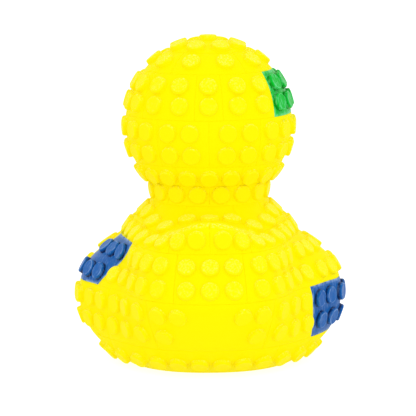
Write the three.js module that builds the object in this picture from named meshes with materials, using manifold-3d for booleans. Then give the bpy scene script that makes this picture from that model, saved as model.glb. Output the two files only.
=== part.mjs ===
// A rubber duck for bath or desk, moulded in one piece and covered in round studs.
// Millimetres, +Z up. The origin is the middle of the flat base, the tail points to +Y
// and the bill to -Y.

import * as THREE from 'three';
import { mergeVertices } from 'three/addons/utils/BufferGeometryUtils.js';
import Module from 'manifold-3d';

// Driving dimensions

const headRadius = 22.8;      // head without its studs
const neckTopRadius = 16.35;   // where the head starts
const headLevels = 13.42;     // levels from there to the top of the head

const studRadius = 2.5;
const studTopRadius = 2.38;   // a little draft
const studHeight = 1.15;
const studSides = 8;

const ringStep = 13;          // longest facet around the duck, degrees

// Level rings of the body, from the base up. "rise" is the height of a ring above the one
// before it. Radii are at angles from the tail (0) over the side (90) to the breast (180), and
// both sides are alike. "lift" raises a ring where it isn't level.
const baseRing = {
  rise: 0,
  radii: [[0, 21], [30, 21.4], [60, 21.6], [90, 22.4], [120, 21.8], [150, 21], [180, 20.5]],
};
const keelRing = {
  rise: 3.3,
  radii: [[0, 28], [30, 27.9], [60, 27.2], [90, 27.7], [120, 27.8], [150, 26], [180, 25.5]],
};
const bilgeRing = {
  rise: 4.85,
  radii: [[0, 34], [15, 33.5], [29, 32.5], [48, 30.4], [66, 30], [80, 31.2], [92, 32.8], [105, 33],
    [120, 31.6], [150, 29.4], [180, 29]],
};
const flankRing = {
  rise: 7.2,
  radii: [[0, 41], [15, 39.8], [25, 38], [36, 35], [48, 31.8], [62, 31.6], [77, 32.9], [90, 35.7],
    [105, 36], [120, 34.6], [150, 33], [180, 33.5]],
};
const wingRing = {
  rise: 7.4,
  radii: [[0, 45.8], [8.6, 45.2], [17, 43.4], [25, 40.8], [33, 37.2], [41, 34], [49, 32], [61.7, 31.9],
    [77, 32.8], [88, 35.2], [105, 36], [120, 34.6], [150, 33.6], [180, 35]],
};
const backRing = {
  rise: 6.2,
  radii: [[0, 43.7], [8.6, 43.2], [18, 41.7], [26, 39], [33, 35.6], [41, 31.8], [50, 28.8], [61.7, 28.2],
    [77, 29.9], [90, 31.9], [105, 32.9], [120, 32.6], [150, 32.6], [180, 34.4]],
};
const shoulderRing = {
  rise: 6.3,
  radii: [[0, 39.8], [8.6, 39.4], [18, 38.2], [26, 35.4], [36, 31.7], [47, 28], [58, 25.6], [70, 24.2],
    [90, 24.3], [120, 25.8], [150, 27.4], [180, 29.4]],
};
// The rim of the tail stands up in the middle, and dips where it runs into the shoulders.
const rimRing = {
  rise: 4.7,
  lift: [[0, 3.2], [6, 2.7], [12, 1.3], [18, -0.2], [26, -1.2], [40, -1], [60, -0.4], [90, 0], [180, 0]],
  radii: [[0, 38.2], [6, 37.3], [12, 34.9], [18, 31.5], [26, 28.2], [40, 24.8], [60, 21.8], [90, 21],
    [120, 21.4], [150, 22.4], [180, 23.4]],
};
const saddleRing = {
  rise: 2.45,
  lift: [[0, -0.3], [20, -0.7], [40, -0.6], [60, -0.2], [90, 0], [180, 0]],
  radii: [[0, 23], [20, 21.6], [40, 19.8], [60, 18.6], [90, 18], [120, 18.1], [150, 18.6], [180, 19]],
};
const collarRing = { rise: 2.6, radii: [[0, 16.3], [90, 16.1], [180, 16.4]] };
const neckRing = { rise: 2.65, radii: [[0, 15.5], [90, 15.5], [180, 15.5]] };
const neckToHead = 2.5;       // from the ring of the neck up to where the head starts

const bodyRings = [baseRing, keelRing, bilgeRing, flankRing, wingRing, backRing, shoulderRing,
  rimRing, saddleRing, collarRing, neckRing];
const heightOf = (k) => bodyRings.slice(0, k + 1).reduce((sum, ring) => sum + ring.rise, 0);
const ringHeights = bodyRings.map((_, k) => heightOf(k));
const headHeight = ringHeights.at(-1) + neckToHead + Math.sqrt(headRadius ** 2 - neckTopRadius ** 2);
const headBottom = THREE.MathUtils.radToDeg(-Math.acos(neckTopRadius / headRadius));
const headLevelRise = (90 - headBottom) / headLevels;

// The duck is laid in courses of bricks. A course runs between two levels, and levels count
// along the rings above (1.15 lies between the second and the third). On the head, from level
// 11 up, a level is about ten degrees of rise. "seams" are the bricks' ends, "rows" the studs,
// both by their angle from the tail, and all but 0 and 180 are on both sides. A seam with
// two angles leans: the first is its foot and the second its top.
const courses = [
  {
    from: 0, to: 2, seams: [35.5, 66.5, 97.5, 127.5, 157.5],
    rows: [{ level: 1.15, angles: [5.8, 17.4, 29, 43, 58.5, 75, 90, 105, 120, 135, 150, 165.5, 180] }],
  },
  {
    from: 2, to: 4, seams: [0, 25, [66, 58.5], [111, 105], [142, 139], 180],
    rows: [
      { level: 2.65, angles: [19, 31.5, 44, 57, 71, 82.5, 93, 103.8, 117, 127, 136.6, 148.5, 160,
        171.5] },
      { level: 3.48, angles: [11.5, 19.5, 30.5, 42, 53.5, 66.5, 78, 88.5, 98.5, 111.5, 121.5, 132.5, 146,
        157, 168] },
    ],
  },
  {
    from: 4, to: 6, seams: [12.6, [42, 38], [72, 50.5], [101, 94], [134.5, 131], 161],
    rows: [
      { level: 4.54, angles: [0, 8, 18.5, 27, 35.5, 48.5, 59.5, 74.5, 84, 94.5, 107.5, 118, 128.5, 141,
        153, 169.5, 180] },
      { level: 5.46, angles: [0, 8.4, 18.5, 26, 33.7, 43.7, 63.5, 75, 86.5, 101, 112.5, 124, 138.5,
        152, 169.5, 180] },
    ],
  },
  {
    from: 6, to: 7, seams: [0, 16.8, 33.8, 61, 94, 126, 157.5],
    rows: [{ level: 6.45, angles: [4.9, 12.6, 21, 28.7, 40, 53.5, 70, 86, 102, 118, 134, 150, 165.5, 180] }],
  },
  {
    from: 7, to: 9, seams: [22, 55, 91, 127, 163],
    rows: [
      { level: 7.98, angles: [0, 15.6, 64.5, 82, 100, 118, 136, 154, 171.5] },
      { level: 7.4, angles: [28.6] },
      { level: 7.5, angles: [45.5] },
    ],
  },
  {
    from: 9, to: 11, seams: [0, 45, 90, 135, 180],
    rows: [{ level: 10.1, angles: [11.25, 33.75, 56.25, 78.75, 101.25, 123.75, 146.25, 168.75] }],
  },
  {
    from: 11, to: 12.76, seams: [27, 63, 99, 153],
    rows: [{ level: 11.88, angles: [0, 18, 36, 54, 72, 90, 108, 126, 144, 162, 180] }],
  },
  {
    from: 12.76, to: 16.1, seams: [0, 38, 73, 108, 144, 162, 180],
    rows: [
      { level: 13.7, angles: [12.4, 28.2, 47, 62.6, 82.5, 98, 118, 133.5] },
      { level: 15.22, angles: [12.8, 28.6, 47, 62.6, 82.5, 98, 118, 133.5] },
    ],
  },
  {
    from: 16.1, to: 19.43, seams: [9.9, [52, 55.8], [87.5, 90], 121.5, 155.5],
    rows: [
      { level: 17.05, angles: [0, 20.5, 41.2, 60.5, 76, 96, 112, 129.5, 165, 180] },
      { level: 18.45, angles: [0, 22.5, 42.5, 63.7, 80, 97.4, 113.3, 129.5, 147.3, 163.8, 180] },
    ],
  },
  {
    from: 19.43, to: 21.5, seams: [36, 108, 180],
    rows: [{ level: 20.46, angles: [18, 54, 90, 126, 162] }],
  },
];
// The crown is one round brick, with a ring of studs and a stud on the very top.
const crown = { from: 21.5, level: 22.22, angles: [22.5, 67.5, 112.5, 157.5] };
const poleLevel = bodyRings.length + headLevels;

// The bill and the eyes on the front of the head. A half of the bill is set in from the front
// of the head and below its middle.
const upperBill = { setIn: 0.8, below: 3.2, radii: [10.6, 13.6, 4.1] };
const lowerBill = { setIn: 1.3, below: 7.2, radii: [8.8, 11, 3.2] };
const billSides = [16, 8];
const eye = { level: 17, angle: 147, radius: 3.1, topRadius: 2.98, height: 0.6, root: 0.9, sides: 12 };

// The form

// A smooth curve through pairs of [place, value].
function curveThrough(points, place) {
  let i = 0;
  while (i < points.length - 2 && place >= points[i + 1][0]) i++;
  const slope = (k) => (points[k + 1][1] - points[k][1]) / (points[k + 1][0] - points[k][0]);
  const tangent = (k) => {
    const before = points[k][0] - points[k - 1][0];
    const after = points[k + 1][0] - points[k][0];
    return (slope(k - 1) * after + slope(k) * before) / (before + after);
  };
  const width = points[i + 1][0] - points[i][0];
  const start = i > 0 ? tangent(i) : slope(i);
  const end = i + 2 < points.length ? tangent(i + 1) : slope(i);
  const t = (place - points[i][0]) / width;
  return hermite(points[i][1], points[i + 1][1], start * width, end * width, t);
}

function hermite(a, b, slopeA, slopeB, t) {
  return (2 * t ** 3 - 3 * t ** 2 + 1) * a + (t ** 3 - 2 * t ** 2 + t) * slopeA
    + (3 * t ** 2 - 2 * t ** 3) * b + (t ** 3 - t ** 2) * slopeB;
}

// A ring's curve is mirrored at the tail and at the breast, so that it closes smoothly.
function aroundDuck(pairs, angle) {
  const n = pairs.length;
  const before = pairs.slice(1, 4).reverse().map(([a, v]) => [-a, v]);
  const after = pairs.slice(Math.max(n - 4, 0), n - 1).reverse().map(([a, v]) => [360 - a, v]);
  return curveThrough([...before, ...pairs, ...after], Math.abs(angle));
}

const radians = THREE.MathUtils.degToRad;

function headProfile(rise) {
  return [headRadius * Math.cos(radians(rise)), headHeight + headRadius * Math.sin(radians(rise))];
}

// Radius and height on one of the rings, or where the head starts.
function ringProfile(k, angle) {
  if (k >= bodyRings.length) return headProfile(headBottom);
  const { radii, lift } = bodyRings[k];
  return [aroundDuck(radii, angle), ringHeights[k] + (lift ? aroundDuck(lift, angle) : 0)];
}

function duckPoint(level, angle) {
  const top = bodyRings.length;
  let profile;
  if (level >= top) {
    profile = headProfile(headBottom + headLevelRise * (level - top));
  } else {
    const k = Math.floor(level);
    const p = [Math.max(k - 1, 0), k, k + 1, Math.min(k + 2, top)].map((i) => ringProfile(i, angle));
    profile = [0, 1].map((c) => {
      const start = k > 0 ? (p[2][c] - p[0][c]) / 2 : p[2][c] - p[1][c];
      const end = k + 2 <= top ? (p[3][c] - p[1][c]) / 2 : p[2][c] - p[1][c];
      return hermite(p[1][c], p[2][c], start, end, level - k);
    });
  }
  const a = radians(angle);
  return new THREE.Vector3(-profile[0] * Math.sin(a), profile[0] * Math.cos(a), profile[1]);
}

// Directions on the surface: around, up and outwards.
function duckFrame(level, angle) {
  const up = duckPoint(level + 0.05, angle).sub(duckPoint(level - 0.05, angle)).divideScalar(0.1);
  const round = duckPoint(level, angle + 1).sub(duckPoint(level, angle - 1)).divideScalar(2);
  const out = round.clone().cross(up).normalize();
  return { round, up, out };
}

// Studs

// A stud's foot lies on the surface as a ring of [angle, level], and its top is flat.
function studAt(level, angle) {
  const middle = duckPoint(level, angle);
  const { round, up, out } = duckFrame(level, angle);
  const side = round.clone().normalize();
  const rise = out.clone().cross(side);
  const foot = [];
  const top = [];
  for (let i = 0; i < studSides; i++) {
    const turn = (i + 0.5) * 2 * Math.PI / studSides;
    const wanted = new THREE.Vector2(Math.cos(turn), Math.sin(turn)).multiplyScalar(studRadius);
    const place = [angle, level];
    for (let step = 0; step < 4; step++) {
      const reached = duckPoint(place[1], place[0]).sub(middle);
      const miss = [wanted.x - reached.dot(side), wanted.y - reached.dot(rise)];
      const a = round.dot(side);
      const b = up.dot(side);
      const d = up.dot(rise);
      const levelStep = miss[1] / d;
      place[0] += (miss[0] - b * levelStep) / a;
      place[1] += levelStep;
    }
    foot.push(place);
    top.push(middle.clone().addScaledVector(out, studHeight)
      .addScaledVector(side, studTopRadius * Math.cos(turn))
      .addScaledVector(rise, studTopRadius * Math.sin(turn)));
  }
  return { angle, level, foot, top };
}

// On the very top of the head, angles have no meaning, so that stud is laid on its own.
function poleStud() {
  const foot = [];
  const top = [];
  const reach = THREE.MathUtils.radToDeg(Math.asin(studRadius / headRadius)) / headLevelRise;
  for (let i = 0; i < studSides; i++) {
    const turn = 360 * (i + 0.5) / studSides - 180;
    foot.push([turn, poleLevel - reach]);
    const a = radians(turn);
    top.push(new THREE.Vector3(-studTopRadius * Math.sin(a), studTopRadius * Math.cos(a),
      headHeight + headRadius + studHeight));
  }
  return { foot, top };
}

function bothSides(angles) {
  return angles.flatMap((a) => (a === 0 || a === 180 ? [a] : [a, -a]));
}

// The skin: patches between the seams, and the studs on them.

const paperPinch = 0.02;
const corners = [];           // three points for each facet, in one long list
const facet = (...points) => points.forEach((p) => corners.push(p.x, p.y, p.z));

function addStud({ foot, top }) {
  const ring = foot.map(([angle, level]) => duckPoint(level, angle));
  for (let i = 0; i < top.length; i++) {
    const k = (i + 1) % top.length;
    facet(ring[i], ring[k], top[k]);
    facet(ring[i], top[k], top[i]);
    if (i > 0 && k > 0) facet(top[0], top[i], top[k]);
  }
}

// A patch of skin: an outline and holes of [angle, level], filled with facets. "flat" lays a
// place out on paper, seen from outside, or from inside where the patch faces down.
function addPatch(outline, holes, flat, facesDown = false) {
  const paper = [outline, ...holes].map((loop) => loop.map(flat));
  const places = [outline, ...holes].flat();
  const spots = paper.flat();
  for (const [a, b, c] of THREE.ShapeUtils.triangulateShape(paper[0], paper.slice(1))) {
    const forwards = THREE.ShapeUtils.area([spots[a], spots[b], spots[c]]) > 0;
    const order = forwards === facesDown ? [a, c, b] : [a, b, c];
    facet(...order.map((i) => duckPoint(places[i][1], places[i][0])));
  }
}

// Where the seams of a course meet its lower and its upper edge, all the way round.
function seamEnds({ seams }) {
  return seams.flatMap((seam) => {
    const [foot, top] = Array.isArray(seam) ? seam : [seam, seam];
    return foot === 0 || foot === 180 ? [{ foot, top }] : [{ foot, top }, { foot: -foot, top: -top }];
  }).sort((a, b) => a.foot - b.foot);
}

// The corners on the edge between two courses, filled in where they lie far apart.
function edgeAngles(level) {
  const angles = new Set([-180, 180]);
  for (const course of courses) {
    for (const { foot, top } of seamEnds(course)) {
      if (course.from === level) angles.add(foot);
      if (course.to === level) angles.add(top);
    }
  }
  const sorted = [...angles].sort((a, b) => a - b);
  return sorted.slice(0, -1).flatMap((angle, i) => {
    const gap = sorted[i + 1] - angle;
    const parts = Math.ceil(gap / ringStep);
    return Array.from({ length: parts }, (_, k) => angle + gap * k / parts);
  });
}

// The stretch of an edge from one angle to a later one, which may pass the breast.
function edgeStretch(level, start, end) {
  return edgeAngles(level).flatMap((a) => [a, a + 360])
    .filter((a) => a > start - 1e-6 && a < end + 1e-6)
    .sort((a, b) => a - b)
    .map((a) => [a, level]);
}

function addCourse(course) {
  const studsOf = (row) => bothSides(row.angles).map((angle) => studAt(row.level, angle));
  const studs = course.rows.flatMap(studsOf);
  studs.forEach(addStud);
  const height = course.to - course.from;
  const steps = height > 2.5 || (course.from < 8 && height > 1.5) ? 3 : 2;
  const ends = seamEnds(course);
  ends.forEach((left, i) => {
    const turn = i + 1 < ends.length ? 0 : 360;
    const right = ends[(i + 1) % ends.length];
    const at = (seam, t) => seam.foot + (seam.top - seam.foot) * t;
    const climb = (seam, shift) => Array.from({ length: steps - 1 }, (_, k) => {
      const t = (k + 1) / steps;
      return [at(seam, t) + shift, course.from + height * t];
    });
    const outline = [
      ...edgeStretch(course.from, left.foot, right.foot + turn),
      ...climb(right, turn),
      ...edgeStretch(course.to, left.top, right.top + turn).reverse(),
      ...climb(left, 0).reverse(),
    ];
    const holes = [];
    for (const { level, angle, foot } of studs) {
      const t = (level - course.from) / height;
      for (const shift of [0, 360]) {
        const inside = angle + shift > at(left, t) && angle + shift < at(right, t) + turn;
        if (inside) holes.push(foot.map(([a, l]) => [a + shift, l]));
      }
    }
    // On paper the patch is about as wide and as high as it is in millimetres, and slightly
    // pinched, so that points along a straight edge are never cut off.
    const middle = (left.foot + left.top + right.foot + right.top) / 4 + turn / 2;
    const pinch = (across) => 1 - paperPinch * (1 - across * across);
    const flat = ([a, l]) => {
      const x = (a - middle) / 30;
      const y = (2 * (l - course.from)) / height - 1;
      return new THREE.Vector2(15 * x * pinch(y), 3.5 * height * y * pinch(x));
    };
    addPatch(outline, holes, flat);
  });
}

courses.forEach(addCourse);

// The crown of the head and the flat base close the skin.
const onBase = ([a]) => new THREE.Vector2(-Math.sin(radians(a)), Math.cos(radians(a)));
const fromAbove = ([a, l]) => onBase([a]).multiplyScalar(poleLevel - l);
const crownStuds = bothSides(crown.angles).map((angle) => studAt(crown.level, angle));
crownStuds.push(poleStud());
crownStuds.forEach(addStud);
const crownEdge = edgeAngles(crown.from).map((a) => [a, crown.from]);
addPatch(crownEdge, crownStuds.map((stud) => stud.foot), fromAbove);
addPatch(edgeAngles(0).map((a) => [a, 0]), [], onBase, true);

const skin = new THREE.BufferGeometry();
skin.setAttribute('position', new THREE.Float32BufferAttribute(corners, 3));

// The bill and the eyes are joined to the skin.

const wasm = await Module();
wasm.setup();

function solidOf(geometry) {
  const bare = geometry.clone();
  bare.deleteAttribute('normal');
  bare.deleteAttribute('uv');
  const merged = mergeVertices(bare, 1e-4);
  return new wasm.Manifold(new wasm.Mesh({
    numProp: 3,
    vertProperties: Float32Array.from(merged.attributes.position.array),
    triVerts: Uint32Array.from(merged.index.array),
  }));
}

function billHalf({ setIn, below, radii }) {
  const geometry = new THREE.SphereGeometry(1, ...billSides);
  geometry.scale(...radii);
  geometry.translate(0, setIn - headRadius, headHeight - below);
  return solidOf(geometry);
}

function eyeAt(angle) {
  const { topRadius, radius, height, root, sides } = eye;
  const geometry = new THREE.CylinderGeometry(topRadius, radius, height + root, sides);
  geometry.translate(0, (height - root) / 2, 0);
  const { out } = duckFrame(eye.level, angle);
  const axis = new THREE.Vector3(0, 1, 0);
  geometry.applyQuaternion(new THREE.Quaternion().setFromUnitVectors(axis, out));
  geometry.translate(...duckPoint(eye.level, angle).toArray());
  return solidOf(geometry);
}

const { vertProperties, triVerts } = solidOf(skin)
  .add(billHalf(upperBill))
  .add(billHalf(lowerBill))
  .add(eyeAt(eye.angle))
  .add(eyeAt(-eye.angle))
  .getMesh();

const duckGeometry = new THREE.BufferGeometry();
duckGeometry.setAttribute('position', new THREE.BufferAttribute(vertProperties, 3));
duckGeometry.setIndex(new THREE.BufferAttribute(triVerts, 1));
duckGeometry.computeVertexNormals();

const vinyl = new THREE.MeshStandardMaterial({ color: 0xfff500, roughness: 0.45, metalness: 0 });
const duck = new THREE.Mesh(duckGeometry, vinyl);
duck.name = 'duck';

const group = new THREE.Group();
group.add(duck);

export default group;
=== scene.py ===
# Rubber duck covered in round studs: one hollow vinyl moulding with a few painted bricks.
# The form is laid out in millimetres and made in metres. +Z is up, the tail points to +Y.

from math import acos, asin, atan2, ceil, cos, degrees, floor, hypot, pi, radians, sin, sqrt

import bmesh
import bpy
from mathutils import Matrix, Quaternion, Vector


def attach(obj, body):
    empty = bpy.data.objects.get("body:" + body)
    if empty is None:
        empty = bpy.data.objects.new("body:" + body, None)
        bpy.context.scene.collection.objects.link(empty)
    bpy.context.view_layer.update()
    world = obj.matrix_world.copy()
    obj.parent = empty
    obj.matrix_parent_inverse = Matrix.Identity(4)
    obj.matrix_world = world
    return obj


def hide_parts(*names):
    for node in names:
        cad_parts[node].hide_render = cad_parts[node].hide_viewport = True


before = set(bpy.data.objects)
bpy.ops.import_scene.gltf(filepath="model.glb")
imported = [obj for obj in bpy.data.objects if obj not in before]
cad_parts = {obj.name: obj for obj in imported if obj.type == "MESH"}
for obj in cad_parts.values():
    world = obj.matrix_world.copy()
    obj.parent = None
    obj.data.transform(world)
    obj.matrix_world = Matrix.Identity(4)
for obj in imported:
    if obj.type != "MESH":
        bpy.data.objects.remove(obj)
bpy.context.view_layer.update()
print("CAD frame loaded")

millimetre = 0.001

# The form, from the base up. A ring rises above the one before it, and has radii by the angle
# from the tail (0) over the side (90) to the breast (180). Both sides are alike. "lift" raises
# a ring where it isn't level.
duckForm = {
    "rings": [
        {"rise": 0, "radii": [
            (0, 21), (30, 21.4), (60, 21.6), (90, 22.4), (120, 21.8), (150, 21), (180, 20.5)]},
        {"rise": 3.3, "radii": [
            (0, 28), (30, 27.9), (60, 27.2), (90, 27.7), (120, 27.8), (150, 26), (180, 25.5)]},
        {"rise": 4.85, "radii": [
            (0, 34), (15, 33.5), (29, 32.5), (48, 30.4), (66, 30), (80, 31.2), (92, 32.8),
            (105, 33), (120, 31.6), (150, 29.4), (180, 29)]},
        {"rise": 7.2, "radii": [
            (0, 41), (15, 39.8), (25, 38), (36, 35), (48, 31.8), (62, 31.6), (77, 32.9),
            (90, 35.7), (105, 36), (120, 34.6), (150, 33), (180, 33.5)]},
        {"rise": 7.4, "radii": [
            (0, 45.8), (8.6, 45.2), (17, 43.4), (25, 40.8), (33, 37.2), (41, 34), (49, 32),
            (61.7, 31.9), (77, 32.8), (88, 35.2), (105, 36), (120, 34.6), (150, 33.6), (180, 35)]},
        {"rise": 6.2, "radii": [
            (0, 43.7), (8.6, 43.2), (18, 41.7), (26, 39), (33, 35.6), (41, 31.8), (50, 28.8),
            (61.7, 28.2), (77, 29.9), (90, 31.9), (105, 32.9), (120, 32.6), (150, 32.6), (180, 34.4)]},
        {"rise": 6.3, "radii": [
            (0, 39.8), (8.6, 39.4), (18, 38.2), (26, 35.4), (36, 31.7), (47, 28), (58, 25.6),
            (70, 24.2), (90, 24.3), (120, 25.8), (150, 27.4), (180, 29.4)]},
        {"rise": 4.7, "radii": [
            (0, 38.2), (6, 37.3), (12, 34.9), (18, 31.5), (26, 28.2), (40, 24.8), (60, 21.8),
            (90, 21), (120, 21.4), (150, 22.4), (180, 23.4)],
         "lift": [
            (0, 3.2), (6, 2.7), (12, 1.3), (18, -0.2), (26, -1.2), (40, -1), (60, -0.4),
            (90, 0), (180, 0)]},
        {"rise": 2.45, "radii": [
            (0, 23), (20, 21.6), (40, 19.8), (60, 18.6), (90, 18), (120, 18.1), (150, 18.6), (180, 19)],
         "lift": [(0, -0.3), (20, -0.7), (40, -0.6), (60, -0.2), (90, 0), (180, 0)]},
        {"rise": 2.6, "radii": [(0, 16.3), (90, 16.1), (180, 16.4)]},
        {"rise": 2.65, "radii": [(0, 15.5), (90, 15.5), (180, 15.5)]},
    ],
    "neckToHead": 2.5,  # from the ring of the neck up to where the head starts
    "neckTopRadius": 16.35,  # where the head starts
    "headRadius": 22.8,
    "headLevels": 13.42,  # levels from the head's start to its top
}

# Courses of bricks. A course runs between two levels, which count along the rings, and on the
# head from level 11 up. A seam with two angles leans: the first is its foot. A row of studs has
# its level and its angles. Seams and studs stand on both sides.
duckCourses = [
    {"from": 0, "to": 2, "seams": [35.5, 66.5, 97.5, 127.5, 157.5],
     "rows": [(1.15, [5.8, 17.4, 29, 43, 58.5, 75, 90, 105, 120, 135, 150, 165.5, 180])]},
    {"from": 2, "to": 4, "seams": [25, (66, 58.5), (111, 105), (142, 139), 180],
     "rows": [(2.65, [19, 31.5, 44, 57, 71, 82.5, 93, 103.8, 117, 127, 136.6, 148.5, 160, 171.5]),
              (3.48, [11.5, 19.5, 30.5, 42, 53.5, 66.5, 78, 88.5, 98.5, 111.5, 121.5, 132.5, 146,
                      157, 168])]},
    {"from": 4, "to": 6, "seams": [12.6, (42, 38), (72, 50.5), (101, 94), (134.5, 131), 161],
     "rows": [(4.54, [0, 8, 18.5, 27, 35.5, 48.5, 59.5, 74.5, 84, 94.5, 107.5, 118, 128.5, 141, 153,
                      169.5, 180]),
              (5.46, [0, 8.4, 18.5, 26, 33.7, 43.7, 63.5, 75, 86.5, 101, 112.5, 124, 138.5, 152,
                      169.5, 180])]},
    {"from": 6, "to": 7, "seams": [0, 16.8, 33.8, 61, 94, 126, 157.5],
     "rows": [(6.45, [4.9, 12.6, 21, 28.7, 40, 53.5, 70, 86, 102, 118, 134, 150, 165.5, 180])]},
    {"from": 7, "to": 9, "seams": [22, 55, 91, 127, 163],
     "rows": [(7.98, [0, 15.6, 64.5, 82, 100, 118, 136, 154, 171.5]), (7.4, [28.6]), (7.5, [45.5])]},
    {"from": 9, "to": 11, "seams": [0, 45, 90, 135, 180],
     "rows": [(10.1, [11.25, 33.75, 56.25, 78.75, 101.25, 123.75, 146.25, 168.75])]},
    {"from": 11, "to": 12.76, "seams": [27, 63, 99, 153],
     "rows": [(11.88, [0, 18, 36, 54, 72, 90, 108, 126, 144, 162, 180])]},
    {"from": 12.76, "to": 16.1, "seams": [0, 38, 73, 108, 144, 162, 180],
     "rows": [(13.7, [12.4, 28.2, 47, 62.6, 82.5, 98, 118, 133.5]),
              (15.22, [12.8, 28.6, 47, 62.6, 82.5, 98, 118, 133.5])]},
    {"from": 16.1, "to": 19.43, "seams": [9.9, (52, 55.8), (87.5, 90), 121.5, 155.5],
     "rows": [(17.05, [0, 20.5, 41.2, 60.5, 76, 96, 112, 129.5, 165, 180]),
              (18.45, [0, 22.5, 42.5, 63.7, 80, 97.4, 113.3, 129.5, 147.3, 163.8, 180])]},
    {"from": 19.43, "to": 21.5, "seams": [36, 108, 180], "rows": [(20.46, [18, 54, 90, 126, 162])]},
]
duckCrown = {  # the round brick on the very top
    "from": 21.5,
    "level": 22.22,  # of its ring of studs
    "angles": [22.5, 67.5, 112.5, 157.5],
    "columns": 48,
    "rows": 10,
    "plugRadius": 8,  # its hidden underside, and how deep that lies
    "plugDepth": 5,
}

# Bricks that are painted, named by their course and the feet of the seams beside them.
paintedBricks = {
    (8, 52, 87.5): "green",
    (8, 87.5, 121.5): "green",
    (2, -101, -72): "blue",
    (1, 66, 111): "blue",
}


def hermite(a, b, slopeA, slopeB, t):
    return ((2 * t ** 3 - 3 * t ** 2 + 1) * a + (t ** 3 - 2 * t ** 2 + t) * slopeA
            + (3 * t ** 2 - 2 * t ** 3) * b + (t ** 3 - t ** 2) * slopeB)


def curveThrough(points, place):
    i = 0
    while i < len(points) - 2 and place >= points[i + 1][0]:
        i += 1

    def slope(k):
        return (points[k + 1][1] - points[k][1]) / (points[k + 1][0] - points[k][0])

    def tangent(k):
        before = points[k][0] - points[k - 1][0]
        after = points[k + 1][0] - points[k][0]
        return (slope(k - 1) * after + slope(k) * before) / (before + after)

    width = points[i + 1][0] - points[i][0]
    start = tangent(i) if i > 0 else slope(i)
    end = tangent(i + 1) if i + 2 < len(points) else slope(i)
    t = (place - points[i][0]) / width
    return hermite(points[i][1], points[i + 1][1], start * width, end * width, t)


def mirroredCurve(pairs):  # closes smoothly at the tail and at the breast
    before = [(-a, v) for a, v in reversed(pairs[1:4])]
    after = [(360 - a, v) for a, v in reversed(pairs[max(len(pairs) - 4, 0):-1])]
    return before + pairs + after


ringCurves = []
ringHeight = 0
for ring in duckForm["rings"]:
    ringHeight += ring["rise"]
    lift = mirroredCurve(ring["lift"]) if "lift" in ring else None
    ringCurves.append((mirroredCurve(ring["radii"]), lift, ringHeight))
headRadius, neckTopRadius = duckForm["headRadius"], duckForm["neckTopRadius"]
headHeight = ringHeight + duckForm["neckToHead"] + sqrt(headRadius ** 2 - neckTopRadius ** 2)
headBottom = -degrees(acos(neckTopRadius / headRadius))
headLevel = len(ringCurves)
poleLevel = headLevel + duckForm["headLevels"]
levelRise = (90 - headBottom) / duckForm["headLevels"]  # degrees of rise for one level on the head
knownProfiles = {}  # what ringProfile has worked out so far


def headProfile(rise):
    return headRadius * cos(radians(rise)), headHeight + headRadius * sin(radians(rise))


def ringProfile(k, angle):
    if k >= headLevel:
        return headProfile(headBottom)
    angle = abs((angle + 180) % 360 - 180)
    key = (k, round(angle, 4))
    if key not in knownProfiles:
        radii, lift, height = ringCurves[k]
        if lift:
            height += curveThrough(lift, angle)
        knownProfiles[key] = (curveThrough(radii, angle), height)
    return knownProfiles[key]


def duckPoint(level, angle):
    if level >= headLevel:
        profile = headProfile(headBottom + levelRise * (level - headLevel))
    else:
        k = max(floor(level), 0)
        p = [ringProfile(i, angle) for i in (max(k - 1, 0), k, k + 1, min(k + 2, headLevel))]
        profile = []
        for c in (0, 1):
            start = (p[2][c] - p[0][c]) / 2 if k > 0 else p[2][c] - p[1][c]
            end = (p[3][c] - p[1][c]) / 2 if k + 2 <= headLevel else p[2][c] - p[1][c]
            profile.append(hermite(p[1][c], p[2][c], start, end, level - k))
    a = radians(angle)
    return Vector((-profile[0] * sin(a), profile[0] * cos(a), profile[1]))


slopeReach = {"levels": 0.05, "degrees": 1}  # how far each way the skin's slope is measured


def duckFrame(level, angle, lowest=0, highest=100):  # directions on the skin: around, up and outwards
    above = duckPoint(min(level + slopeReach["levels"], highest), angle)
    up = above - duckPoint(max(level - slopeReach["levels"], lowest), angle)
    turn = slopeReach["degrees"]
    side = (duckPoint(level, angle + turn) - duckPoint(level, angle - turn)).normalized()
    out = side.cross(up).normalized()
    return side, out.cross(side), out


# Bricks: cushions of skin with rounded edges, and grooves between them.
brickShape = {
    "joint": 0.03,  # half the gap between two bricks
    "edge": 0.11,  # rounding of a brick's edge
    "edgeSteps": 3,
    "cell": 1.5,  # size of a facet
    "groove": 0.1,  # depth of the grooves
    "skirt": 0.5,  # how far a brick's sides go on below the groove's floor
    "chords": 8,  # a side's length is measured along so many chords
}
tailHighlight = {"level": 7, "nearness": 0.1, "reach": 25}  # where a painted highlight lies along the tail's upper edge


def bothSides(angles):
    return [a for angle in angles for a in ((angle,) if angle in (0, 180) else (angle, -angle))]


def seamEnds(seams):
    ends = []
    for seam in seams:
        foot, top = seam if isinstance(seam, tuple) else (seam, seam)
        ends.append((foot, top))
        if foot not in (0, 180):
            ends.append((-foot, -top))
    return sorted(ends)


def skinLength(fromLevel, toLevel, fromAngle, toAngle):  # along the skin between two places
    shares = [k / brickShape["chords"] for k in range(brickShape["chords"] + 1)]
    points = [duckPoint(fromLevel + (toLevel - fromLevel) * t, fromAngle + (toAngle - fromAngle) * t)
              for t in shares]
    return sum((b - a).length for a, b in zip(points, points[1:]))


def stepsAlong(length):  # how many facets a side of a brick is divided into
    inner = length - 2 * (brickShape["joint"] + brickShape["edge"])
    return max(2, ceil(inner / brickShape["cell"])) + 2 * brickShape["edgeSteps"]


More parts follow.
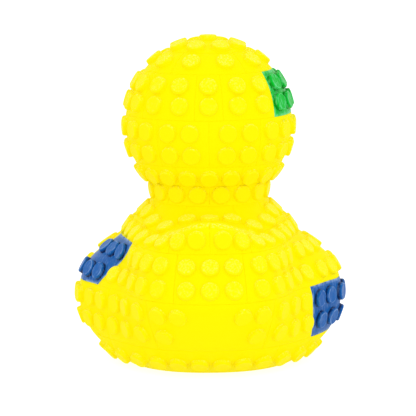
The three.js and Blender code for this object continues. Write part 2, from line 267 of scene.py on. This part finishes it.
def placeAlong(i, n, length):  # distance from the brick's first end, with fine steps at its edges
    edge, steps, joint = brickShape["edge"], brickShape["edgeSteps"], brickShape["joint"]
    if i <= steps:
        return joint + edge * (1 - cos(pi / 2 * i / steps))
    if i >= n - steps:
        return length - placeAlong(n - i, n, length)
    inner = length - 2 * (joint + edge)
    return joint + edge + inner * (i - steps) / (n - 2 * steps)


def edgeDrop(fromSide, fromEnd):  # how far the rounded edge has fallen, so far in from two sides
    edge = brickShape["edge"]
    e = min(edge, hypot(max(0, edge - fromSide), max(0, edge - fromEnd)))
    return edge - sqrt(max(0, edge * edge - e * e))


def addBrick(bm, lower, upper, left, right):  # one brick between two levels and two seams
    middle = (sum(left) / 2 + sum(right) / 2) / 2
    height = skinLength(lower, upper, middle, middle)

    def sideAngles(t):
        return left[0] + (left[1] - left[0]) * t, right[0] + (right[1] - right[0]) * t

    def widthAt(t):
        level = lower + (upper - lower) * t
        return skinLength(level, level, *sideAngles(t))

    columns, rows = stepsAlong(widthAt(0.5)), stepsAlong(height)
    widths = [widthAt(placeAlong(j, rows, height) / height) for j in range(rows + 1)]

    def onSkin(i, j):  # the point, the way outwards, how far the edge has fallen, and whether the tail's painted highlight lies there
        joint = brickShape["joint"]
        across = placeAlong(j, rows, height)
        along = placeAlong(i, columns, widths[j])
        a, b = sideAngles(across / height)
        angle, level = a + (b - a) * along / widths[j], lower + (upper - lower) * across / height
        out = duckFrame(level, angle, lower, upper)[2]
        drop = edgeDrop(min(along, widths[j] - along) - joint, min(across, height - across) - joint)
        onTailHighlight = abs(level - tailHighlight["level"]) < tailHighlight["nearness"] and abs(angle) < tailHighlight["reach"]
        return duckPoint(level, angle), out, drop, onTailHighlight

    patch = bmesh.new()
    rimHighlight = patch.verts.layers.float.new("rimHighlight")
    paintedHighlight = patch.verts.layers.float.new("paintedHighlight")
    bmesh.ops.create_grid(patch, x_segments=columns, y_segments=rows, size=1)
    sunk = set(patch.verts)  # the grid itself becomes the hidden back, and its copy the front
    bmesh.ops.extrude_face_region(patch, geom=patch.faces[:], use_keep_orig=True)
    places = {}
    for v in patch.verts:
        i, j = round((v.co.x + 1) / 2 * columns), round((v.co.y + 1) / 2 * rows)
        if (i, j) not in places:
            places[i, j] = onSkin(i, j)
        point, out, drop, onTailHighlight = places[i, j]
        # The tail's upper edge gets a painted highlight.
        v[paintedHighlight] = 1 if onTailHighlight else 0
        # The brick's edges are marked for a painted highlight.
        v[rimHighlight] = 1 if min(i, columns - i, j, rows - j) <= brickShape["edgeSteps"] else 0
        v.co = point - out * (brickShape["groove"] + brickShape["skirt"] if v in sunk else drop)
    bmesh.ops.scale(patch, vec=(millimetre,) * 3, verts=patch.verts)
    appendMesh(bm, patch)


def appendMesh(bm, part):  # moves a part's mesh into the piece's mesh
    shape = bpy.data.meshes.new("part")
    part.to_mesh(shape)
    part.free()
    bm.from_mesh(shape)
    bpy.data.meshes.remove(shape)


# Studs: short round pegs with rounded rims, standing square on the skin. Their rims are marked for a
# painted highlight, their feet for painted shade, and what faces up for a painted highlight, as if lit
# from above.
studShape = {
    "footRadius": 2.55,
    "topRadius": 2.4,
    "height": 1.15,
    "root": 0.5,  # how far the stud goes on below the skin
    "rim": 0.28,  # rounding of the rim
    "border": 0.3,  # width of the border round the sunken top
    "sunk": 0.03,  # depth of the sunken top
    "sides": 18,
    "paintedHighlightFrom": 0.2,  # the upward slope where the painted highlight starts
    "paintedHighlightOver": 0.7,  # and how much steeper it is in full
}


def makeStud():  # one stud, which is set again and again
    stud = bmesh.new()
    rimHighlight = stud.verts.layers.float.new("rimHighlight")
    shaded = stud.verts.layers.float.new("shaded")
    height = studShape["height"]
    depth = height + studShape["root"]
    nearTop = height - 0.01  # only the top face lies above
    bmesh.ops.create_cone(stud, cap_ends=True, segments=studShape["sides"], depth=depth,
                          radius1=studShape["footRadius"], radius2=studShape["topRadius"])
    bmesh.ops.translate(stud, verts=stud.verts, vec=(0, 0, height - depth / 2))
    rim = [e for e in stud.edges if all(v.co.z > height / 2 for v in e.verts)]
    bmesh.ops.bevel(stud, geom=rim, offset=studShape["rim"], offset_type="OFFSET", affect="EDGES",
                    segments=1, profile=0.5, material=-1)
    for v in stud.verts:
        # Rims are marked for a painted highlight.
        v[rimHighlight] = 1 if v.co.z > nearTop else 0
        # Feet are marked for painted shade.
        v[shaded] = 1 if v.co.z < 0 else 0
    top = [f for f in stud.faces if f.calc_center_median().z > nearTop]
    bmesh.ops.inset_region(stud, faces=top, thickness=studShape["border"], depth=-studShape["sunk"],
                           use_even_offset=True)
    for v in top[0].verts:
        v[rimHighlight] = 0
    for face in stud.faces:
        face.material_index = 1
    shape = bpy.data.meshes.new("stud")
    stud.to_mesh(shape)
    stud.free()
    return shape


def addStud(bm, stud, level, angle):  # stands it on the skin and marks what faces up, for a painted highlight
    first = len(bm.verts)
    bm.from_mesh(stud)
    bm.verts.ensure_lookup_table()
    if level < poleLevel:
        side, rise, out = duckFrame(level, angle)
    else:
        side, rise, out = Vector((-1, 0, 0)), Vector((0, -1, 0)), Vector((0, 0, 1))
    place = Matrix((side, rise, out)).transposed().to_4x4()
    place.translation = duckPoint(level, angle)
    bmesh.ops.transform(bm, matrix=Matrix.Scale(millimetre, 4) @ place, verts=bm.verts[first:])
    paintedHighlight = bm.verts.layers.float["paintedHighlight"]
    # What faces up is marked for a painted highlight, as if lit from above.
    for v, plain in zip(bm.verts[first:], stud.vertices):
        facingUp = (place.to_3x3() @ plain.normal).z
        v[paintedHighlight] = max(0, min(1, (facingUp - studShape["paintedHighlightFrom"]) / studShape["paintedHighlightOver"]))


coreMesh = {"columns": 96, "bodyRows": 44, "headRows": 34}


def addCore(bm):  # the floor of the grooves: the whole form, a little smaller
    bodyRows, headRows, groove = coreMesh["bodyRows"], coreMesh["headRows"], brickShape["groove"]
    rows = bodyRows + headRows
    core = bmesh.new()
    bmesh.ops.create_uvsphere(core, u_segments=coreMesh["columns"], v_segments=rows + 2, radius=1)
    for v in core.verts:
        row = round((asin(max(-1, min(1, v.co.z))) / pi + 0.5) * (rows + 2))
        angle = degrees(atan2(-v.co.x, v.co.y))
        if row == 0:
            v.co = (0, 0, 0)
            continue
        if row == rows + 2:
            v.co = (0, 0, headHeight + headRadius - groove)
            continue
        row -= 1
        level = headLevel * row / bodyRows
        if row > bodyRows:
            level = headLevel + (poleLevel - headLevel) * (row - bodyRows) / (headRows + 1)
        out = duckFrame(level, angle)[2]
        point = duckPoint(level, angle) - out * groove
        point.z = max(point.z, 0)
        v.co = point
    bmesh.ops.scale(core, vec=(millimetre,) * 3, verts=core.verts)
    appendMesh(bm, core)


def addCrown(bm, stud):  # a cap of the head, with a ring of studs and one at the pole
    crown = bmesh.new()
    rows, steps = duckCrown["rows"], brickShape["edgeSteps"]
    edge, joint = brickShape["edge"], brickShape["joint"]
    bmesh.ops.create_uvsphere(crown, u_segments=duckCrown["columns"], v_segments=2 * rows, radius=1)
    reach = (poleLevel - duckCrown["from"]) * levelRise * pi / 180 * headRadius
    for v in crown.verts:
        row = round((0.5 - asin(max(-1, min(1, v.co.z))) / pi) * 2 * rows)
        a = atan2(-v.co.x, v.co.y)
        if row > rows:
            v.co = (v.co.x * duckCrown["plugRadius"], v.co.y * duckCrown["plugRadius"],
                    headHeight + headRadius - duckCrown["plugDepth"])
            continue
        if row >= rows - steps:
            distance = reach - joint - edge * (1 - cos(pi / 2 * (rows - row) / steps))
        else:
            distance = (reach - joint - edge) * row / (rows - steps)
        drop = edgeDrop(reach - distance - joint, edge)
        if row == rows:
            drop = brickShape["groove"] + brickShape["skirt"]
        rise = distance / headRadius
        radius = headRadius - drop
        v.co = (-radius * sin(rise) * sin(a), radius * sin(rise) * cos(a), headHeight + radius * cos(rise))
    bmesh.ops.scale(crown, vec=(millimetre,) * 3, verts=crown.verts)
    appendMesh(bm, crown)
    for angle in bothSides(duckCrown["angles"]):
        addStud(bm, stud, duckCrown["level"], angle)
    addStud(bm, stud, poleLevel, 0)


def makePiece(name, bm, materials, smoothAngle=40):  # a second material is for the studs
    bmesh.ops.recalc_face_normals(bm, faces=bm.faces)
    for face in bm.faces:
        face.material_index = min(face.material_index, len(materials) - 1)
    shape = bpy.data.meshes.new(name)
    bm.to_mesh(shape)
    bm.free()
    piece = bpy.data.objects.new(name, shape)
    bpy.context.scene.collection.objects.link(piece)
    for material in materials:
        shape.materials.append(material)
    shape.shade_smooth()
    shape.set_sharp_from_angle(angle=radians(smoothAngle))
    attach(piece, "root")
    print(name, "made with", len(shape.polygons), "faces")
    return piece


# Finishes: a vinyl skin that every finish shares, and hand-laid paint over it.
vinylGrain = {
    "grainDetail": 3,
    "speckRange": (0.48, 0.68),  # how much of the grain shows as specks
    "depth": 0.00006,
    "cloudScale": 55,
    "cloudDetail": 4,
    "cloudRange": (0.3, 0.7),
    "roughnessSpread": 0.06,
}


def vinylSkinGroup():  # the fine grain and slight unevenness of soft moulded vinyl
    group = bpy.data.node_groups.new("vinylSkin", "ShaderNodeTree")
    face = group.interface
    face.new_socket("Roughness", in_out="INPUT", socket_type="NodeSocketFloat").default_value = 0.5
    face.new_socket("Grain Scale", in_out="INPUT", socket_type="NodeSocketFloat").default_value = 1500
    face.new_socket("Grain Height", in_out="INPUT", socket_type="NodeSocketFloat").default_value = 0.2
    face.new_socket("Roughness", in_out="OUTPUT", socket_type="NodeSocketFloat")
    face.new_socket("Unevenness", in_out="OUTPUT", socket_type="NodeSocketFloat")
    face.new_socket("Specks", in_out="OUTPUT", socket_type="NodeSocketFloat")
    face.new_socket("Normal", in_out="OUTPUT", socket_type="NodeSocketVector")
    nodes, links = group.nodes, group.links
    ins, outs = nodes.new("NodeGroupInput"), nodes.new("NodeGroupOutput")
    place = nodes.new("ShaderNodeTexCoord")
    grain = nodes.new("ShaderNodeTexNoise")
    grain.inputs["Detail"].default_value = vinylGrain["grainDetail"]
    cloud = nodes.new("ShaderNodeTexNoise")
    cloud.inputs["Scale"].default_value = vinylGrain["cloudScale"]
    cloud.inputs["Detail"].default_value = vinylGrain["cloudDetail"]
    spread = nodes.new("ShaderNodeMapRange")
    spread.inputs["From Min"].default_value = vinylGrain["cloudRange"][0]
    spread.inputs["From Max"].default_value = vinylGrain["cloudRange"][1]
    spread.inputs["To Min"].default_value = -vinylGrain["roughnessSpread"]
    spread.inputs["To Max"].default_value = vinylGrain["roughnessSpread"]
    specks = nodes.new("ShaderNodeMapRange")
    specks.inputs["From Min"].default_value = vinylGrain["speckRange"][0]
    specks.inputs["From Max"].default_value = vinylGrain["speckRange"][1]
    total = nodes.new("ShaderNodeMath")
    total.operation = "ADD"
    bump = nodes.new("ShaderNodeBump")
    bump.inputs["Distance"].default_value = vinylGrain["depth"]
    links.new(place.outputs["Object"], grain.inputs["Vector"])
    links.new(place.outputs["Object"], cloud.inputs["Vector"])
    links.new(ins.outputs["Grain Scale"], grain.inputs["Scale"])
    links.new(ins.outputs["Grain Height"], bump.inputs["Strength"])
    links.new(grain.outputs["Fac"], bump.inputs["Height"])
    links.new(grain.outputs["Fac"], specks.inputs["Value"])
    links.new(specks.outputs["Result"], outs.inputs["Specks"])
    links.new(cloud.outputs["Fac"], spread.inputs["Value"])
    links.new(spread.outputs["Result"], total.inputs[0])
    links.new(ins.outputs["Roughness"], total.inputs[1])
    links.new(total.outputs["Value"], outs.inputs["Roughness"])
    links.new(cloud.outputs["Fac"], outs.inputs["Unevenness"])
    links.new(bump.outputs["Normal"], outs.inputs["Normal"])
    return group


brushwork = {
    "strokeScale": 1500,
    "strokeDetail": 2,
    "strokeStretch": (1, 1, 0.22),
    "strokeRange": (0.5, 0.66),
    "rimRange": (0.45, 1),  # how far in from the rims the painted highlight reaches
    "highlightBreakupScale": 420,
    "highlightBreakupDetail": 3,
    "highlightBreakupRange": (0.4, 0.58),
    "rimHighlightStrength": 0.6,
    "footRange": (0.08, 0.45),  # how far up a stud's foot the painted shade reaches
    # how dark the painted shade at the feet is
    "thickness": 0.9,
}


def handPaintGroup():  # a painted highlight on rims, painted shade at the feet of studs, and brush strokes
    group = bpy.data.node_groups.new("handPaint", "ShaderNodeTree")
    face = group.interface
    face.new_socket("Paint", in_out="INPUT", socket_type="NodeSocketColor")
    face.new_socket("Strokes And Highlight", in_out="INPUT", socket_type="NodeSocketColor")
    face.new_socket("Foot Shade", in_out="INPUT", socket_type="NodeSocketColor")
    face.new_socket("Strokes", in_out="INPUT", socket_type="NodeSocketFloat").default_value = 0.3
    face.new_socket("Colour", in_out="OUTPUT", socket_type="NodeSocketColor")
    nodes, links = group.nodes, group.links
    ins, outs = nodes.new("NodeGroupInput"), nodes.new("NodeGroupOutput")
    place = nodes.new("ShaderNodeTexCoord")

    def noise(scale, detail, source):
        texture = nodes.new("ShaderNodeTexNoise")
        texture.inputs["Scale"].default_value = scale
        texture.inputs["Detail"].default_value = detail
        links.new(source, texture.inputs["Vector"])
        return texture.outputs["Fac"]

    def spread(value, ends):
        ramp = nodes.new("ShaderNodeMapRange")
        ramp.inputs["From Min"].default_value = ends[0]
        ramp.inputs["From Max"].default_value = ends[1]
        links.new(value, ramp.inputs["Value"])
        return ramp.outputs["Result"]

    def times(a, b):
        product = nodes.new("ShaderNodeMath")
        product.operation = "MULTIPLY"
        links.new(a, product.inputs[0])
        if isinstance(b, (int, float)):
            product.inputs[1].default_value = b
        else:
            links.new(b, product.inputs[1])
        return product.outputs["Value"]

    def mark(name):
        attribute = nodes.new("ShaderNodeAttribute")
        attribute.attribute_name = name
        return attribute.outputs["Fac"]

    def blend(factor, below, above):
        mix = nodes.new("ShaderNodeMix")
        mix.data_type = "RGBA"
        links.new(factor, mix.inputs["Factor"])
        links.new(below, mix.inputs["A"])
        links.new(above, mix.inputs["B"])
        return mix.outputs["Result"]

    stretch = nodes.new("ShaderNodeMapping")
    stretch.inputs["Scale"].default_value = brushwork["strokeStretch"]
    links.new(place.outputs["Object"], stretch.inputs["Vector"])
    bristles = noise(brushwork["strokeScale"], brushwork["strokeDetail"], stretch.outputs["Vector"])
    strokes = times(spread(bristles, brushwork["strokeRange"]), ins.outputs["Strokes"])
    # Painted highlight: rims are lightened towards the pale paint, broken up by noise.
    highlightBreakup = noise(brushwork["highlightBreakupScale"], brushwork["highlightBreakupDetail"], place.outputs["Object"])
    rimHighlightMask = times(spread(mark("rimHighlight"), brushwork["rimRange"]), spread(highlightBreakup, brushwork["highlightBreakupRange"]))
    # Painted shade: the paint darkens towards the feet of the studs.
    footShade = times(spread(mark("shaded"), brushwork["footRange"]), brushwork["thickness"])
    withFootShade = blend(footShade, ins.outputs["Paint"], ins.outputs["Foot Shade"])
    brushed = blend(strokes, withFootShade, ins.outputs["Strokes And Highlight"])
    finished = blend(times(rimHighlightMask, brushwork["rimHighlightStrength"]), brushed, ins.outputs["Strokes And Highlight"])
    links.new(finished, outs.inputs["Colour"])
    return group


def paintMaterial(name, skinGroup, paintGroup, finish):  # hand-laid paint on the vinyl
    material = vinylMaterial(name, skinGroup, finish)
    nodes, links = material.node_tree.nodes, material.node_tree.links
    paint = nodes.new("ShaderNodeGroup")
    paint.node_tree = paintGroup
    paint.inputs["Strokes And Highlight"].default_value = (*finish["strokeAndHighlightColour"], 1)
    paint.inputs["Foot Shade"].default_value = (*finish["footShadeColour"], 1)
    paint.inputs["Strokes"].default_value = finish["strokes"]
    shader = nodes["Principled BSDF"]
    links.new(shader.inputs["Base Color"].links[0].from_socket, paint.inputs["Paint"])
    links.new(paint.outputs["Colour"], shader.inputs["Base Color"])
    return material


def vinylMaterial(name, skinGroup, finish):  # "bloom" is a faint sheen, as on dusty vinyl
    material = bpy.data.materials.new(name)
    material.use_nodes = True
    nodes, links = material.node_tree.nodes, material.node_tree.links
    shader = nodes["Principled BSDF"]
    skin = nodes.new("ShaderNodeGroup")
    skin.node_tree = skinGroup
    skin.inputs["Roughness"].default_value = finish["roughness"]
    skin.inputs["Grain Scale"].default_value = finish["grainScale"]
    skin.inputs["Grain Height"].default_value = finish["grainHeight"]
    # Where the highlight mark lies, speckled by the grain, the colour is painted paler: a painted
    # highlight.
    paintedHighlight = nodes.new("ShaderNodeAttribute")
    paintedHighlight.attribute_name = "paintedHighlight"
    paintedHighlightShare = nodes.new("ShaderNodeMath")
    paintedHighlightShare.operation = "MULTIPLY"
    pale = nodes.new("ShaderNodeMix")
    pale.data_type = "RGBA"
    pale.inputs["B"].default_value = (*finish.get("paintedHighlightColour", finish["colour"]), 1)
    tint = nodes.new("ShaderNodeMix")
    tint.data_type = "RGBA"
    tint.inputs["A"].default_value = (*finish["colour"], 1)
    tint.inputs["B"].default_value = (*finish["deepColour"], 1)
    links.new(skin.outputs["Unevenness"], tint.inputs["Factor"])
    links.new(paintedHighlight.outputs["Fac"], paintedHighlightShare.inputs[0])
    links.new(skin.outputs["Specks"], paintedHighlightShare.inputs[1])
    links.new(paintedHighlightShare.outputs["Value"], pale.inputs["Factor"])
    links.new(tint.outputs["Result"], pale.inputs["A"])
    links.new(pale.outputs["Result"], shader.inputs["Base Color"])
    links.new(skin.outputs["Roughness"], shader.inputs["Roughness"])
    links.new(skin.outputs["Normal"], shader.inputs["Normal"])
    shader.inputs["Specular IOR Level"].default_value = finish["gloss"]
    shader.inputs["Sheen Weight"].default_value = finish.get("bloom", 0)
    shader.inputs["Sheen Roughness"].default_value = 0.5
    return material


vinylSkin = vinylSkinGroup()
handPaint = handPaintGroup()
# The paler highlight colours are painted highlights, on the tail's upper edge and on the upward faces of
# the studs.
yellowVinyl = vinylMaterial("yellowVinyl", vinylSkin, {
    "colour": (1.0, 0.89, 0.0), "deepColour": (1.0, 0.87, 0.0), "roughness": 0.5, "gloss": 0.015,
    "grainScale": 1600, "grainHeight": 0.25, "paintedHighlightColour": (1.0, 0.97, 0.2)})
frostedVinyl = vinylMaterial("frostedVinyl", vinylSkin, {  # the studs, a little chalky
    "colour": (1.0, 0.88, 0.0), "deepColour": (1.0, 0.86, 0.0), "roughness": 0.45, "gloss": 0.03,
    "grainScale": 2200, "grainHeight": 0.5, "bloom": 0.015, "paintedHighlightColour": (1.0, 0.96, 0.14)})
# Each paint's darkest colour is painted shade at the feet of the studs, and its palest is a painted
# highlight on rims as well as the colour of brush strokes.
bluePaint = paintMaterial("bluePaint", vinylSkin, handPaint, {
    "colour": (0.006, 0.14, 0.46), "deepColour": (0.0, 0.07, 0.34), "roughness": 0.34, "gloss": 0.06,
    "strokeAndHighlightColour": (0.36, 0.55, 0.88), "footShadeColour": (0.0, 0.01, 0.07), "strokes": 0.13,
    "grainScale": 1600, "grainHeight": 0.25, "bloom": 0.04})
greenPaint = paintMaterial("greenPaint", vinylSkin, handPaint, {
    "colour": (0.0, 0.54, 0.045), "deepColour": (0.0, 0.46, 0.02), "roughness": 0.3, "gloss": 0.05,
    "strokeAndHighlightColour": (0.2, 0.8, 0.38), "footShadeColour": (0.0, 0.26, 0.01), "strokes": 0.4,
    "grainScale": 1600, "grainHeight": 0.3, "bloom": 0.05})
orangePaint = vinylMaterial("orangePaint", vinylSkin, {
    "colour": (1.0, 0.2, 0.01), "deepColour": (0.95, 0.17, 0.01), "roughness": 0.42, "gloss": 0.4,
    "grainScale": 1600, "grainHeight": 0.2})
blackPaint = vinylMaterial("blackPaint", vinylSkin, {
    "colour": (0.012, 0.012, 0.012), "deepColour": (0.02, 0.02, 0.02), "roughness": 0.25, "gloss": 0.5,
    "grainScale": 1600, "grainHeight": 0.1})
whitePaint = vinylMaterial("whitePaint", vinylSkin, {
    "colour": (0.9, 0.9, 0.88), "deepColour": (0.85, 0.85, 0.83), "roughness": 0.35, "gloss": 0.5,
    "grainScale": 1600, "grainHeight": 0.1})
print("finishes made")

# The skin, brick by brick
meshes = {"yellow": bmesh.new(), "blue": bmesh.new(), "green": bmesh.new()}
for bm in meshes.values():
    for mark in ("rimHighlight", "shaded", "paintedHighlight"):
        bm.verts.layers.float.new(mark)
stud = makeStud()
addCore(meshes["yellow"])
for number, course in enumerate(duckCourses):
    ends = seamEnds(course["seams"])
    for i, left in enumerate(ends):
        turn = 0 if i + 1 < len(ends) else 360
        right = tuple(a + turn for a in ends[(i + 1) % len(ends)])
        bm = meshes[paintedBricks.get((number, left[0], right[0]), "yellow")]
        addBrick(bm, course["from"], course["to"], left, right)
        for level, angles in course["rows"]:
            t = (level - course["from"]) / (course["to"] - course["from"])
            for angle in bothSides(angles):
                for a in (angle, angle + 360):
                    if left[0] + (left[1] - left[0]) * t < a < right[0] + (right[1] - right[0]) * t:
                        addStud(bm, stud, level, a)
print("courses laid")

addCrown(meshes["yellow"], stud)
duckSkin = makePiece("duckSkin", meshes["yellow"], [yellowVinyl, frostedVinyl])
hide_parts("duck")
makePiece("bluePaintedBricks", meshes["blue"], [bluePaint])
makePiece("greenPaintedBricks", meshes["green"], [greenPaint])

# The bill: two rounded lips that part at the mouth line, plain as on a bath duck.
billShape = {
    "upper": {"setIn": 0.8, "below": 3.2, "radii": (10.6, 13.6, 4.1)},
    "lower": {"setIn": 1.3, "below": 7.2, "radii": (8.8, 11, 3.2)},
    "turnUp": 2.2,  # how far the tip is turned up
    "thinning": 0.25,  # how much thinner the tip is
    "segments": 48,
}


def addLip(bm, lip):
    segments = billShape["segments"]
    centre = (0, lip["setIn"] - headRadius, headHeight - lip["below"])
    half = bmesh.new()
    bmesh.ops.create_uvsphere(half, u_segments=segments, v_segments=segments // 2, radius=1)
    for v in half.verts:
        forward = max(0, -v.co.y)
        v.co.z = v.co.z * (1 - billShape["thinning"] * forward)
        v.co = Vector([c + r * x for c, r, x in zip(centre, lip["radii"], v.co)])
        v.co.z += billShape["turnUp"] * forward ** 2 - billShape["turnUp"] / 2 * forward
    bmesh.ops.scale(half, vec=(millimetre,) * 3, verts=half.verts)
    appendMesh(bm, half)


billMesh = bmesh.new()
addLip(billMesh, billShape["upper"])
addLip(billMesh, billShape["lower"])
makePiece("orangeBill", billMesh, [orangePaint])

# The eyes: raised discs with a white ring, a black middle and a small white glint.
eyeShape = {
    "level": 17,
    "angle": 147,
    "segments": 32,
    "white": {"radius": 3.1, "height": 0.6, "offset": (0, 0)},
    "pupil": {"radius": 2.1, "height": 0.74, "offset": (0, 0)},
    "glint": {"radius": 0.6, "height": 0.84, "offset": (0.7, 0.8)},
}


def addDome(bm, angle, part):  # a low round dome on the skin, aside from the eye's middle by its offset
    segments, radius = eyeShape["segments"], part["radius"]
    dome = bmesh.new()
    bmesh.ops.create_uvsphere(dome, u_segments=segments, v_segments=segments // 2, radius=1)
    bmesh.ops.scale(dome, vec=(radius, radius, part["height"]), verts=dome.verts)
    side, rise, out = duckFrame(eyeShape["level"], angle)
    place = Matrix((side, rise, out)).transposed().to_4x4()
    middle = duckPoint(eyeShape["level"], angle)
    place.translation = middle + side * part["offset"][0] + rise * part["offset"][1]
    bmesh.ops.transform(dome, matrix=Matrix.Scale(millimetre, 4) @ place, verts=dome.verts)
    appendMesh(bm, dome)


eyeWhites, pupils, glints = bmesh.new(), bmesh.new(), bmesh.new()
for angle in (eyeShape["angle"], -eyeShape["angle"]):
    addDome(eyeWhites, angle, eyeShape["white"])
    addDome(pupils, angle, eyeShape["pupil"])
    addDome(glints, angle, eyeShape["glint"])
makePiece("eyeWhites", eyeWhites, [whitePaint])
makePiece("pupils", pupils, [blackPaint])
makePiece("glints", glints, [whitePaint])
print("bill and eyes made")

# Studio: a light table in white surroundings, a large soft lamp above and a low fill.
studio = {
    "surround": 1.0,
    "floorReach": 3.0,
    "floorDrop": 0.00005,  # the floor lies this far below the base
    "floorColour": (0.45, 0.45, 0.45),
    "table": 0.55,  # how brightly the floor shines on the duck
    "tableSeen": 0.85,  # and to the camera
    "lampAim": (0, 0, 0.04),
    "overheadLamp": {"place": (0.05, 0.35, 0.75), "size": 1.0, "strength": 0.43},
    "lowFill": {"place": (-0.2, 0.9, 0.2), "size": 0.4, "strength": 0.86},
}


def whiteSurround():
    world = bpy.data.worlds.new("surround")
    bpy.context.scene.world = world
    world.use_nodes = True
    nodes, links = world.node_tree.nodes, world.node_tree.links
    nodes.clear()
    out = nodes.new("ShaderNodeOutputWorld")
    light = nodes.new("ShaderNodeBackground")
    light.inputs["Color"].default_value = (1, 1, 1, 1)
    light.inputs["Strength"].default_value = studio["surround"]
    seen = nodes.new("ShaderNodeBackground")  # the camera sees plain white
    seen.inputs["Color"].default_value = (1, 1, 1, 1)
    seen.inputs["Strength"].default_value = 1
    path = nodes.new("ShaderNodeLightPath")
    mix = nodes.new("ShaderNodeMixShader")
    links.new(path.outputs["Is Camera Ray"], mix.inputs["Fac"])
    links.new(light.outputs["Background"], mix.inputs[1])
    links.new(seen.outputs["Background"], mix.inputs[2])
    links.new(mix.outputs["Shader"], out.inputs["Surface"])


def paleFloor():
    bm = bmesh.new()
    bmesh.ops.create_grid(bm, x_segments=2, y_segments=2, size=studio["floorReach"])
    bmesh.ops.translate(bm, verts=bm.verts, vec=(0, 0, -studio["floorDrop"]))
    shape = bpy.data.meshes.new("floor")
    bm.to_mesh(shape)
    bm.free()
    floorPiece = bpy.data.objects.new("floor", shape)
    bpy.context.scene.collection.objects.link(floorPiece)
    material = bpy.data.materials.new("paleFloor")
    material.use_nodes = True
    nodes, links = material.node_tree.nodes, material.node_tree.links
    shader = nodes["Principled BSDF"]
    shader.inputs["Base Color"].default_value = (*studio["floorColour"], 1)
    shader.inputs["Roughness"].default_value = 0.9
    shader.inputs["Specular IOR Level"].default_value = 0
    glow = nodes.new("ShaderNodeEmission")
    path = nodes.new("ShaderNodeLightPath")
    strength = nodes.new("ShaderNodeMapRange")
    strength.inputs["To Min"].default_value = studio["table"]
    strength.inputs["To Max"].default_value = studio["tableSeen"]
    links.new(path.outputs["Is Camera Ray"], strength.inputs["Value"])
    links.new(strength.outputs["Result"], glow.inputs["Strength"])
    both = nodes.new("ShaderNodeAddShader")
    links.new(shader.outputs["BSDF"], both.inputs[0])
    links.new(glow.outputs["Emission"], both.inputs[1])
    links.new(both.outputs["Shader"], nodes["Material Output"].inputs["Surface"])
    shape.materials.append(material)


def addLamp(name):
    settings = studio[name]
    lamp = bpy.data.lights.new(name, "AREA")
    lamp.shape = "SQUARE"
    lamp.size = settings["size"]
    lamp.energy = settings["strength"]
    piece = bpy.data.objects.new(name, lamp)
    piece.location = settings["place"]
    beam = Vector(studio["lampAim"]) - Vector(settings["place"])
    piece.rotation_euler = beam.to_track_quat("-Z", "Y").to_euler()
    bpy.context.scene.collection.objects.link(piece)


whiteSurround()
paleFloor()
addLamp("overheadLamp")
addLamp("lowFill")

# The camera stands behind the duck, a little above it, where the photograph was taken.
cameraPlace = {
    "position": (0, 0.95, 0.17355),
    "aim": (0.0004, 0, 0.0422),
    "roll": -0.5,
    "lens": 301.8,
    "sensor": 36,
    "nearest": 0.05,
    "farthest": 20,
}


def makeCamera():
    lens = bpy.data.cameras.new("camera")
    lens.lens = cameraPlace["lens"]
    lens.sensor_width = cameraPlace["sensor"]
    lens.clip_start = cameraPlace["nearest"]
    lens.clip_end = cameraPlace["farthest"]
    piece = bpy.data.objects.new("camera", lens)
    piece.location = cameraPlace["position"]
    sight = Vector(cameraPlace["aim"]) - Vector(cameraPlace["position"])
    turned = sight.to_track_quat("-Z", "Y") @ Quaternion((0, 0, 1), radians(cameraPlace["roll"]))
    piece.rotation_euler = turned.to_euler()
    bpy.context.scene.collection.objects.link(piece)
    bpy.context.scene.camera = piece


makeCamera()
bpy.context.scene.view_settings.view_transform = "Standard"
print("studio and camera set")
